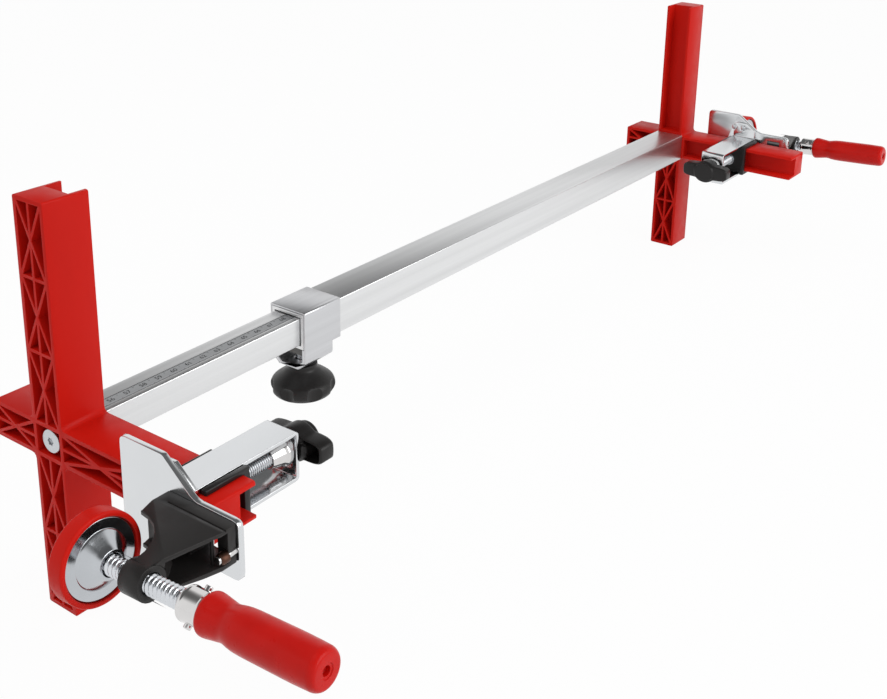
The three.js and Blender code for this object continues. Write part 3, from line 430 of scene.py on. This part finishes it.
def eased(outline, ring=False, steps=7):
    """The outline with each corner C made a curve (1-t)^2 A + 2t(1-t) C + t^2 B, where A
    and B lie on its two sides, as far from C as its rounding or half the side allows."""
    given = np.asarray(outline, float)
    corner, rounding = given[:, :-1], given[:, -1:]
    before, after = np.roll(corner, 1, axis=0) - corner, np.roll(corner, -1, axis=0) - corner
    sides = [np.linalg.norm(side, axis=1, keepdims=True) for side in (before, after)]
    reach = np.minimum(rounding, np.minimum(*sides) / 2)
    first, last = corner + before / sides[0] * reach, corner + after / sides[1] * reach
    t = np.linspace(0.0, 1.0, steps)[None, :, None]
    curve = (1 - t) ** 2 * first[:, None] + 2 * t * (1 - t) * corner[:, None] + t**2 * last[:, None]
    if ring:
        return curve.reshape(-1, corner.shape[1])
    return np.concatenate([corner[:1], curve[1:-1].reshape(-1, corner.shape[1]), corner[-1:]])


def across(along):
    """Two directions square to an axis, so that they and the axis are right-handed."""
    side = np.cross(along, (1.0, 0.0, 0.0) if abs(along[0]) < 0.9 else (0.0, 0.0, 1.0))
    side = side / np.linalg.norm(side)
    return side, np.cross(along, side)


def turned(radius, distance, foot, along, steps=96):
    """Points foot + distance * along + radius * (cos a * side + sin a * up), for rows of
    distance and columns of the angle a. The radius is one a row, or one a point."""
    angle = np.linspace(0.0, 2 * np.pi, steps, endpoint=False)
    side, up = across(along)
    rows = len(distance)
    radius = np.broadcast_to(np.asarray(radius, float).reshape(rows, -1), (rows, steps))
    spoke = np.cos(angle)[:, None] * side + np.sin(angle)[:, None] * up
    distance = np.asarray(distance)[:, None, None]
    return np.asarray(foot) + distance * along + radius[..., None] * spoke


def surface(name, grid, ring=False):
    """Faces between the neighbours of a grid of points whose columns close into rings, and
    whose rows do too if ring is set. Points in one place become one, faces point outwards."""
    rows, columns = grid.shape[:2]
    points, number = np.unique(grid.reshape(-1, 3).round(8), axis=0, return_inverse=True)
    number = number.reshape(rows, columns)
    if ring:
        number = np.vstack([number, number[:1]])
    following = np.roll(number, -1, axis=1)
    quads = np.stack([number[:-1], number[1:], following[1:], following[:-1]], -1).reshape(-1, 4)
    halves = np.concatenate([quads[:, [0, 1, 2]], quads[:, [0, 2, 3]]])
    halves = halves[
        (halves[:, 0] != halves[:, 1]) & (halves[:, 1] != halves[:, 2]) & (halves[:, 2] != halves[:, 0])
    ]
    a, b, c = (points[halves[:, i]] for i in range(3))
    if (a * np.cross(b, c)).sum() < 0:
        halves = halves[:, ::-1]
    mesh = bpy.data.meshes.new(name)
    mesh.from_pydata(points.tolist(), [], halves.tolist())
    mesh.shade_smooth()
    mesh.set_sharp_from_angle(angle=CREASE)
    return mesh


def joint(name):
    """The place and axis of one of the record's joints."""
    found = next(j for j in frame["joints"] if j["name"] == name)
    return np.array(found.get("pos_m", (0.0, 0.0, 0.0))), np.array(found["axis"], float)


def scalloped_bell(foot, along):
    """The bell turned round its axis, its radius at each angle a cut back to the near side
    of a scallop, c cos a - sqrt(s^2 - c^2 sin^2 a), which fades out above the rim."""
    radius, height = eased(KNOB_OUTLINE).T
    angle = np.linspace(0.0, 2 * np.pi, KNOB_SCALLOPS * SCALLOP_STEPS, endpoint=False)
    turn = (angle * KNOB_SCALLOPS / (2 * np.pi) + 0.5) % 1 - 0.5
    turn = turn * 2 * np.pi / KNOB_SCALLOPS
    inside = SCALLOP_RADIUS**2 - (SCALLOP_CENTRE * np.sin(turn)) ** 2
    scallop = SCALLOP_CENTRE * np.cos(turn) - np.sqrt(np.clip(inside, 0.0, None))
    scallop = np.where(inside > 0, scallop, KNOB_RADIUS)
    fade = np.clip((height - SCALLOP_TOP) / SCALLOP_FADE, 0.0, 1.0)[:, None] ** 2
    limit = scallop[None, :] + fade * (KNOB_RADIUS - scallop[None, :])
    rim = np.minimum(radius[:, None], limit)
    rim = np.where(height[:, None] < SCALLOP_TOP + SCALLOP_FADE, rim, radius[:, None])
    return turned(rim, height, foot, along, len(angle))


black_nylon = moulded("black_nylon", BLACK, 0.44, 0.32, gloss=0.28)
knob_axis, up = joint("clamp_knob_turn")
knob_foot = np.array((knob_axis[0], knob_axis[1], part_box("clamp_knob")[0][2]))
placed("clamp_knob_bell", surface("clamp_knob_bell", scalloped_bell(knob_foot, up)),
       black_nylon, "clamp_knob", "black_moulding", "clamp_knob")
frame["nodes"]["clamp_stud"].material_slots[0].material = zinc

# Each slider is a bright zinc-plated plate and a bent strip that wraps the long arm,
# held together by four rivets, with a black plastic liner between strip and arm.
PLATE_EASING = 0.0004
BRACKET_EASING = 0.0003
LINER_EASING = 0.0003
RIVET_HEAD_RADIUS, RIVET_HEAD_HEIGHT, RIVET_SHANK_RADIUS = 0.0021, 0.0009, 0.0015
SHEET_COLOUR = (0.69, 0.705, 0.72)


def rivet(low, high, outward):
    """A shank with a low round head on the tab's side, turned round the x axis."""
    centre = (np.array(low) + np.array(high)) / 2
    centre[0] = low[0] if outward > 0 else high[0]
    length = high[0] - low[0]
    shoulder = length - RIVET_HEAD_HEIGHT
    radius, distance = eased((
        (0.0, 0.0, 0.0), (RIVET_SHANK_RADIUS, 0.0, 0.0002), (RIVET_SHANK_RADIUS, shoulder, 0.0),
        (RIVET_HEAD_RADIUS, shoulder, 0.0001),
        (RIVET_HEAD_RADIUS, length - RIVET_HEAD_HEIGHT / 2, 0.0004),
        (RIVET_HEAD_RADIUS / 2, length, 0.0008), (0.0, length, 0.0),
    )).T
    return turned(radius, distance, centre, np.array((outward, 0.0, 0.0)), 32)


sheet_zinc = plated("sheet_zinc", SHEET_COLOUR, 0.19, 0.14, ripple=0.000001, cloud=0.015)
for end, inward in ENDS.items():
    slider = f"{end}_slider"
    eased_copy(f"{end}_plate", sheet_zinc, slider, "zinc_steel", PLATE_EASING, segments=3)
    eased_copy(f"{end}_bracket", sheet_zinc, slider, "zinc_steel", BRACKET_EASING)
    eased_copy(f"{end}_liner", black_nylon, slider, "black_moulding", LINER_EASING)
    for i in range(1, 5):
        node = f"{end}_rivet_{i}"
        placed(f"{node}_head", surface(node, rivet(*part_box(node), inward)),
               zinc, slider, "zinc_steel", node)

# The lock screw runs through a chromed bush in the strip's end wall and presses a pad on
# the liner. Its knob has two wings of black nylon, hollow on the strip's side.
LOCK_RADIUS, LOCK_PITCH, LOCK_DEPTH = 0.0039, 0.00125, 0.0006
BUSH_BORE, BUSH_TIP_RADIUS, BUSH_RADIUS, BUSH_STEP_RADIUS = 0.00415, 0.005, 0.0065, 0.0053
BUSH_LENGTH, BUSH_RING, BUSH_RING_RADIUS, WALL = 0.010, 0.0016, 0.0075, 0.002
BUSH_FLANGE_RADIUS, BUSH_FLANGE = 0.0076, 0.0017
WING_HUB_RADIUS, WING_REACH, WING_HALF_WIDTH = 0.009, 0.019, 0.0058
WING_THICKNESS, WING_WALL, WING_HOLLOW = 0.0105, 0.0017, 0.008
WING_SQUARENESS, HUB_BLEND = 4.5, 12
WING_STEP, HUB_STEP, HUB_FILLET, HUB_OVERLAP = 0.0008, 0.0016, 0.001, 0.0008
WING_ROUNDING, WING_CROWN, HUB_CROWN = 0.0014, 0.0012, 0.0006
HUB_INSET, SCREW_TIP, THREAD_OVERRUN = 0.0005, 0.001, 0.004
CHROME = (0.68, 0.67, 0.665)
# A thread's flank as shares of its pitch and depth: how steep, how wide at the root, and
# how round at the crest
FLANK_SHARE, ROOT_SHARE, CREST_SHARE = 1.5, 0.15, 0.8


def threaded(distance, start, end, pitch, depth, steps):
    """How far a right-handed thread cuts into a rod at each distance and angle: the depth
    times a rounded V of the phase distance / pitch - angle / 2 pi, run out at both ends."""
    angle = np.linspace(0.0, 1.0, steps, endpoint=False)
    phase = (distance[:, None] - start) / pitch - angle[None, :]
    ridge = np.abs(2 * (phase % 1) - 1)
    groove = 1 - np.clip(FLANK_SHARE * ridge - ROOT_SHARE, 0.0, 1.0) ** CREST_SHARE
    run_out = np.clip(np.minimum(distance - start, end - distance) / pitch, 0.0, 1.0)
    return depth * groove * run_out[:, None]


def screw_grid(outline, start, end, pitch, depth, foot, along, steps=40):
    """A turned rod with a thread cut between two distances along it."""
    radius, distance = eased(outline).T
    fine = np.arange(start, end, pitch / 8)
    order = np.argsort(np.concatenate([distance, fine]), kind="stable")
    plain = np.concatenate([radius, np.interp(fine, distance, radius)])[order]
    distance = np.concatenate([distance, fine])[order]
    cut = threaded(distance, start, end, pitch, depth, steps)
    return turned(np.maximum(plain[:, None] - cut, 0.0), distance, foot, along, steps)


def blended(edge, value, width):
    """0 where the value is under the edge and 1 above it, with a smooth step as wide."""
    t = np.clip((value - edge) / width + 0.5, 0.0, 1.0)
    return t * t * (3 - 2 * t)


def winged_knob(foot, along, start, hub_length):
    """The knob as a height over polar coordinates: its rim R(a) blends the hub's circle
    with a bar's squared-off oval, (|cos a / reach|^n + |sin a / half|^n)^(-1/n), and the
    far, under and rim faces follow."""
    angle = np.linspace(0.0, 2 * np.pi, 240, endpoint=False)
    n = WING_SQUARENESS
    bar = (np.abs(np.cos(angle) / WING_REACH) ** n
           + np.abs(np.sin(angle) / WING_HALF_WIDTH) ** n) ** (-1 / n)
    rim = (bar**HUB_BLEND + WING_HUB_RADIUS**HUB_BLEND) ** (1 / HUB_BLEND)
    rim = np.minimum(rim, WING_REACH)
    share = np.concatenate([np.linspace(0.0, 0.86, 34), np.linspace(0.87, 0.995, 22)])
    radius = share[:, None] * rim[None, :]
    wing_low = start + (hub_length - WING_THICKNESS) / 2
    wing_high = wing_low + WING_THICKNESS
    to_wall = blended(WING_WALL, rim[None, :] - radius, WING_STEP)
    off_hub = blended(WING_HUB_RADIUS - HUB_INSET, radius, WING_STEP)
    under = start + (wing_low - start) * off_hub + WING_HOLLOW * to_wall * blended(
        WING_HUB_RADIUS + HUB_OVERLAP, radius, HUB_FILLET
    )
    crown = wing_high - WING_CROWN * share[:, None] ** 4
    over = start + hub_length - HUB_CROWN * (radius / WING_HUB_RADIUS) ** 2
    over = over + (crown - over) * blended(WING_HUB_RADIUS - HUB_OVERLAP, radius, HUB_STEP)
    arc = np.linspace(-np.pi / 2, np.pi / 2, 11)[1:-1, None]
    low_edge, high_edge = under[-1] + WING_ROUNDING, over[-1] - WING_ROUNDING
    arc_height = np.where(arc < 0, low_edge, high_edge) + WING_ROUNDING * np.sin(arc)
    arc_radius = (rim - WING_ROUNDING) + WING_ROUNDING * np.cos(arc)
    flat = np.minimum(radius, rim - WING_ROUNDING)
    radii = np.concatenate([flat, arc_radius, flat[::-1]])
    heights = np.concatenate([under, arc_height, over[::-1]])
    side, up = np.array((0.0, 1.0, 0.0)), np.array((0.0, 0.0, 1.0))
    spoke = np.cos(angle)[:, None] * side + np.sin(angle)[:, None] * up
    return foot + heights[..., None] * along + radii[..., None] * spoke


def reach_along(node, foot):
    """The least and the greatest distance of a node's box from a foot, along X."""
    return sorted(abs(corner[0] - foot[0]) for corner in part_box(node))


chrome = plated("bright_chrome", CHROME, 0.14, 0.07, ripple=0.000002)
for end, inward in ENDS.items():
    slider = f"{end}_slider"
    foot, along = joint(f"{end}_lock_turn")
    wall = abs(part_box(f"{end}_bracket")[1 if inward > 0 else 0][0] - foot[0])
    inside = wall - WALL
    bush = eased((
        (BUSH_BORE, inside - BUSH_LENGTH, 0.0001), (BUSH_TIP_RADIUS, inside - BUSH_LENGTH, 0.0005),
        (BUSH_RADIUS, inside - 2 * BUSH_RING, 0.0015),
        (BUSH_RING_RADIUS, inside - BUSH_RING, 0.0006),
        (BUSH_RING_RADIUS, inside, 0.0001), (BUSH_STEP_RADIUS, inside, 0.0),
        (BUSH_STEP_RADIUS, wall, 0.0), (BUSH_FLANGE_RADIUS, wall, 0.0002),
        (BUSH_FLANGE_RADIUS, wall + BUSH_FLANGE, 0.0004), (BUSH_BORE, wall + BUSH_FLANGE, 0.0001),
    ), ring=True)
    placed(f"{end}_bush_turned", surface("bush", turned(*bush.T, foot, along), ring=True),
           chrome, slider, "chromed_steel", f"{end}_bush")
    frame["nodes"][f"{end}_thrust_pad"].material_slots[0].material = zinc

    low, high = reach_along(f"{end}_lock_screw", foot)
    outline = (
        (0.0, low, 0.0), (LOCK_RADIUS - SCREW_TIP, low, 0.0001),
        (LOCK_RADIUS, low + SCREW_TIP, 0.0001), (LOCK_RADIUS, high, 0.0), (0.0, high, 0.0),
    )
    grid = screw_grid(outline, low, wall + THREAD_OVERRUN, LOCK_PITCH, LOCK_DEPTH, foot, along)
    placed(f"{end}_lock_thread", surface("lock_thread", grid),
           zinc, f"{end}_lock_screw", "zinc_steel", f"{end}_lock_screw")

    low, high = reach_along(f"{end}_wing_knob", foot)
    placed(f"{end}_wings", surface("wings", winged_knob(foot, along, low, high - low)),
           black_nylon, f"{end}_lock_screw", "black_moulding", f"{end}_wing_knob")

# The arm that carries the spindle is moulded in black glass-filled nylon, with a web
# round the pad's notch, and is held on the plate by a stud with a browned slotted nut.
ARM_EASING = 0.0003
ARM_BLACK = (0.020, 0.0185, 0.018)
BROWNED = (0.10, 0.050, 0.035)
arm_nylon = moulded("arm_nylon", ARM_BLACK, 0.46, 0.36, grain=0.00002, gloss=0.25)
browned = plated("browned_steel", BROWNED, 0.5, 0.35)
for end in ENDS:
    slider = f"{end}_slider"
    eased_copy(f"{end}_screw_arm", arm_nylon, slider, "black_moulding", ARM_EASING)
    eased_copy(f"{end}_arm_nut", browned, slider, "browned_steel", SCREW_EASING)
    eased_copy(f"{end}_arm_stud", chrome, slider, "chromed_steel", SCREW_EASING)

# The spindle is a plated steel screw. A ring in its groove carries the swivel pad, and
# its tang is driven into the handle behind a steel ferrule with a cross pin.
SPINDLE_RADIUS, SPINDLE_PITCH, SPINDLE_DEPTH = 0.0044, 0.0024, 0.00105
SPINDLE_THREAD_END, TANG_RADIUS, TANG_END = 0.0533, 0.0032, 0.1
FERRULE_START, FERRULE_END, FERRULE_RADIUS = 0.0523, 0.063, 0.00715
PIN_RADIUS, PIN_LENGTH = 0.0016, 0.0172
PIN_TURN = math.radians(42.0)
SPINDLE_THREAD_START, SPINDLE_SHOULDER, TANG_SHOULDER = 0.0054, 0.0066, 0.0004
FERRULE_LIP, FERRULE_HEM, RUNNING_GAP = 0.0006, 0.00018, 0.00005
SPINDLE_COLOUR = (0.66, 0.68, 0.71)
# The spindle's tip with the ring's groove: (radius, distance, rounding of that corner)
SPINDLE_TIP = (
    (0.0, 0.0, 0.0), (0.0026, 0.0, 0.0003), (0.0032, 0.00065, 0.0006), (0.0032, 0.00195, 0.0006),
    (0.0024, 0.0026, 0.0001), (0.0024, 0.0046, 0.0001),
)
spindle_steel = plated("spindle_steel", SPINDLE_COLOUR, 0.24, 0.12, ripple=0.000003)
for end, inward in ENDS.items():
    body = f"{end}_spindle"
    foot, forward = joint(f"{end}_spindle_turn")
    back = -forward
    outline = SPINDLE_TIP + (
        (SPINDLE_RADIUS, SPINDLE_SHOULDER, 0.0001),
        (SPINDLE_RADIUS, SPINDLE_THREAD_END - TANG_SHOULDER, 0.0),
        (TANG_RADIUS, SPINDLE_THREAD_END, 0.0), (TANG_RADIUS, TANG_END, 0.0), (0.0, TANG_END, 0.0),
    )
    grid = screw_grid(outline, SPINDLE_THREAD_START, SPINDLE_THREAD_END,
                      SPINDLE_PITCH, SPINDLE_DEPTH, foot, back, steps=48)
    placed(f"{end}_spindle_thread", surface("spindle_thread", grid),
           spindle_steel, body, "chromed_steel", f"{end}_spindle")
    frame["nodes"][f"{end}_pad_retainer"].material_slots[0].material = zinc

    bore = SPINDLE_RADIUS + RUNNING_GAP
    hemmed = FERRULE_RADIUS - FERRULE_HEM
    ferrule = eased((
        (bore, FERRULE_START, 0.0001), (FERRULE_RADIUS, FERRULE_START, FERRULE_LIP),
        (FERRULE_RADIUS, FERRULE_START + 2 * FERRULE_LIP, 0.0001),
        (hemmed, FERRULE_START + 3 * FERRULE_LIP, 0.0002),
        (hemmed, FERRULE_END - 2 * FERRULE_LIP, 0.0002),
        (FERRULE_RADIUS, FERRULE_END - FERRULE_LIP, 0.0001),
        (FERRULE_RADIUS, FERRULE_END, 0.0002), (bore, FERRULE_END, 0.0001),
    ), ring=True)
    placed(f"{end}_ferrule_turned", surface("ferrule", turned(*ferrule.T, foot, back), ring=True),
           chrome, body, "chromed_steel", f"{end}_ferrule")

    slope = np.array((math.cos(PIN_TURN), 0.0, inward * math.sin(PIN_TURN)))
    middle = foot + (FERRULE_START + FERRULE_END) / 2 * back
    half = PIN_LENGTH / 2
    radius, distance = eased((
        (0.0, -half, 0.0), (PIN_RADIUS, -half, 0.0005), (PIN_RADIUS, half, 0.0005), (0.0, half, 0.0)
    )).T
    placed(f"{end}_pin_turned", surface("pin", turned(radius, distance, middle, slope, 40)),
           chrome, body, "chromed_steel", f"{end}_cross_pin")

# The handle is turned wood in red lacquer: a bulge behind the ferrule, a waist for the
# fingers and a barrel that widens to its end, with the lathe's centre hole in the face.
HANDLE_END = 0.1222
# The handle's outline: (radius, share of its length, rounding of that corner)
HANDLE_OUTLINE = (
    (0.0072, 0.0, 0.0003), (0.0087, 0.018, 0.0012), (0.0087, 0.05, 0.0020), (0.0078, 0.150, 0.0030),
    (0.00733, 0.206, 0.0020), (0.0083, 0.283, 0.0030), (0.00858, 0.36, 0.0040),
    (0.0087, 0.80, 0.0060), (0.0084, 0.965, 0.0016), (0.0072, 1.0, 0.0012),
)
HOLE_RADIUS, HOLE_DEPTH = 0.0020, 0.0026
LIP_RADIUS, LIP_FOOT_RADIUS, LIP_DEPTH = 0.0032, 0.0029, 0.0005
LACQUER_RED = (0.560, 0.008, 0.005)


def lacquered(name, colour):
    """Lacquered wood: the grain shows as a faint relief along the handle, under a clear
    coat that levels it, and the colour is a little deeper where the coat is thick."""
    material, tree, shader, place = bare_finish(
        name, IOR=1.5, Specular_IOR_Level=0.1, Coat_Weight=0.15, Coat_Roughness=0.15, Coat_IOR=1.4
    )
    thick = speckle(tree, place, 60.0)
    tinted(tree, thick, shader, scaled(colour, 0.9), scaled(colour, 1.05))
    tree.links.new(spread(tree, speckle(tree, place, 260.0), 0.26, 0.4), shader.inputs["Roughness"])
    grain = speckle(tree, place, 900.0, stretch=(1.0, 9.0, 1.0), detail=5.0)
    relief(tree, grain, shader, 0.00003)
    return material


red_lacquer = lacquered("red_lacquer", LACQUER_RED)
for end in ENDS:
    foot, forward = joint(f"{end}_spindle_turn")
    start, bore, bore_end = FERRULE_END + RUNNING_GAP, TANG_RADIUS + RUNNING_GAP, TANG_END + RUNNING_GAP
    outline = [(0.0, bore_end, 0.0), (bore, bore_end, 0.0), (bore, start, 0.0)]
    outline += [(r, start + share * (HANDLE_END - start), ease) for r, share, ease in HANDLE_OUTLINE]
    outline += [
        (LIP_RADIUS, HANDLE_END, 0.0001), (LIP_FOOT_RADIUS, HANDLE_END - LIP_DEPTH, 0.0001),
        (HOLE_RADIUS, HANDLE_END - LIP_DEPTH, 0.0001), (HOLE_RADIUS, HANDLE_END - HOLE_DEPTH, 0.0002),
        (0.0, HANDLE_END - HOLE_DEPTH, 0.0),
    ]
    radius, distance = eased(outline).T
    placed(f"{end}_handle_turned", surface("handle", turned(radius, distance, foot, -forward, 128)),
           red_lacquer, f"{end}_spindle", "red_handle", f"{end}_handle")

# The swivel pad: a pressed chromed dome snapped on the spindle's end, sitting in a red
# moulded nylon cap that faces the wall.
# Outlines: (radius, distance towards the wall, rounding of that corner)
DOME_OUTLINE = (
    (0.0050, 0.0004, 0.0001), (0.0173, 0.0004, 0.0001), (0.0173, -0.0011, 0.0005),
    (0.0127, -0.0011, 0.0002), (0.0123, -0.0017, 0.0004), (0.0100, -0.0038, 0.0020),
    (0.0075, -0.0063, 0.0015), (0.0062, -0.0081, 0.0004), (0.0050, -0.0081, 0.0002),
)
CAP_OUTLINE = (
    (0.0, 0.0066, 0.0), (0.0060, 0.0066, 0.0001), (0.0064, 0.0062, 0.0001), (0.0130, 0.0062, 0.0001),
    (0.0134, 0.0066, 0.0001), (0.0200, 0.0066, 0.0014), (0.0200, -0.0021, 0.0012),
    (0.0176, -0.0021, 0.0006), (0.0176, 0.00045, 0.0004), (0.0, 0.00045, 0.0),
)
DOME_COLOUR = (0.50, 0.52, 0.545)
dome_chrome = plated("dome_chrome", DOME_COLOUR, 0.22, 0.12, ripple=0.000004)
for end in ENDS:
    body = f"{end}_pad"
    foot, forward = joint(f"{end}_spindle_turn")
    dome = eased(DOME_OUTLINE, ring=True)
    placed(f"{end}_dome", surface("dome", turned(*dome.T, foot, forward, 128), ring=True),
           dome_chrome, body, "chromed_steel", f"{end}_pressure_plate")
    radius, distance = eased(CAP_OUTLINE).T
    placed(f"{end}_cap", surface("cap", turned(radius, distance, foot, forward, 128)),
           red_nylon, body, "red_cap", f"{end}_pad_cap")
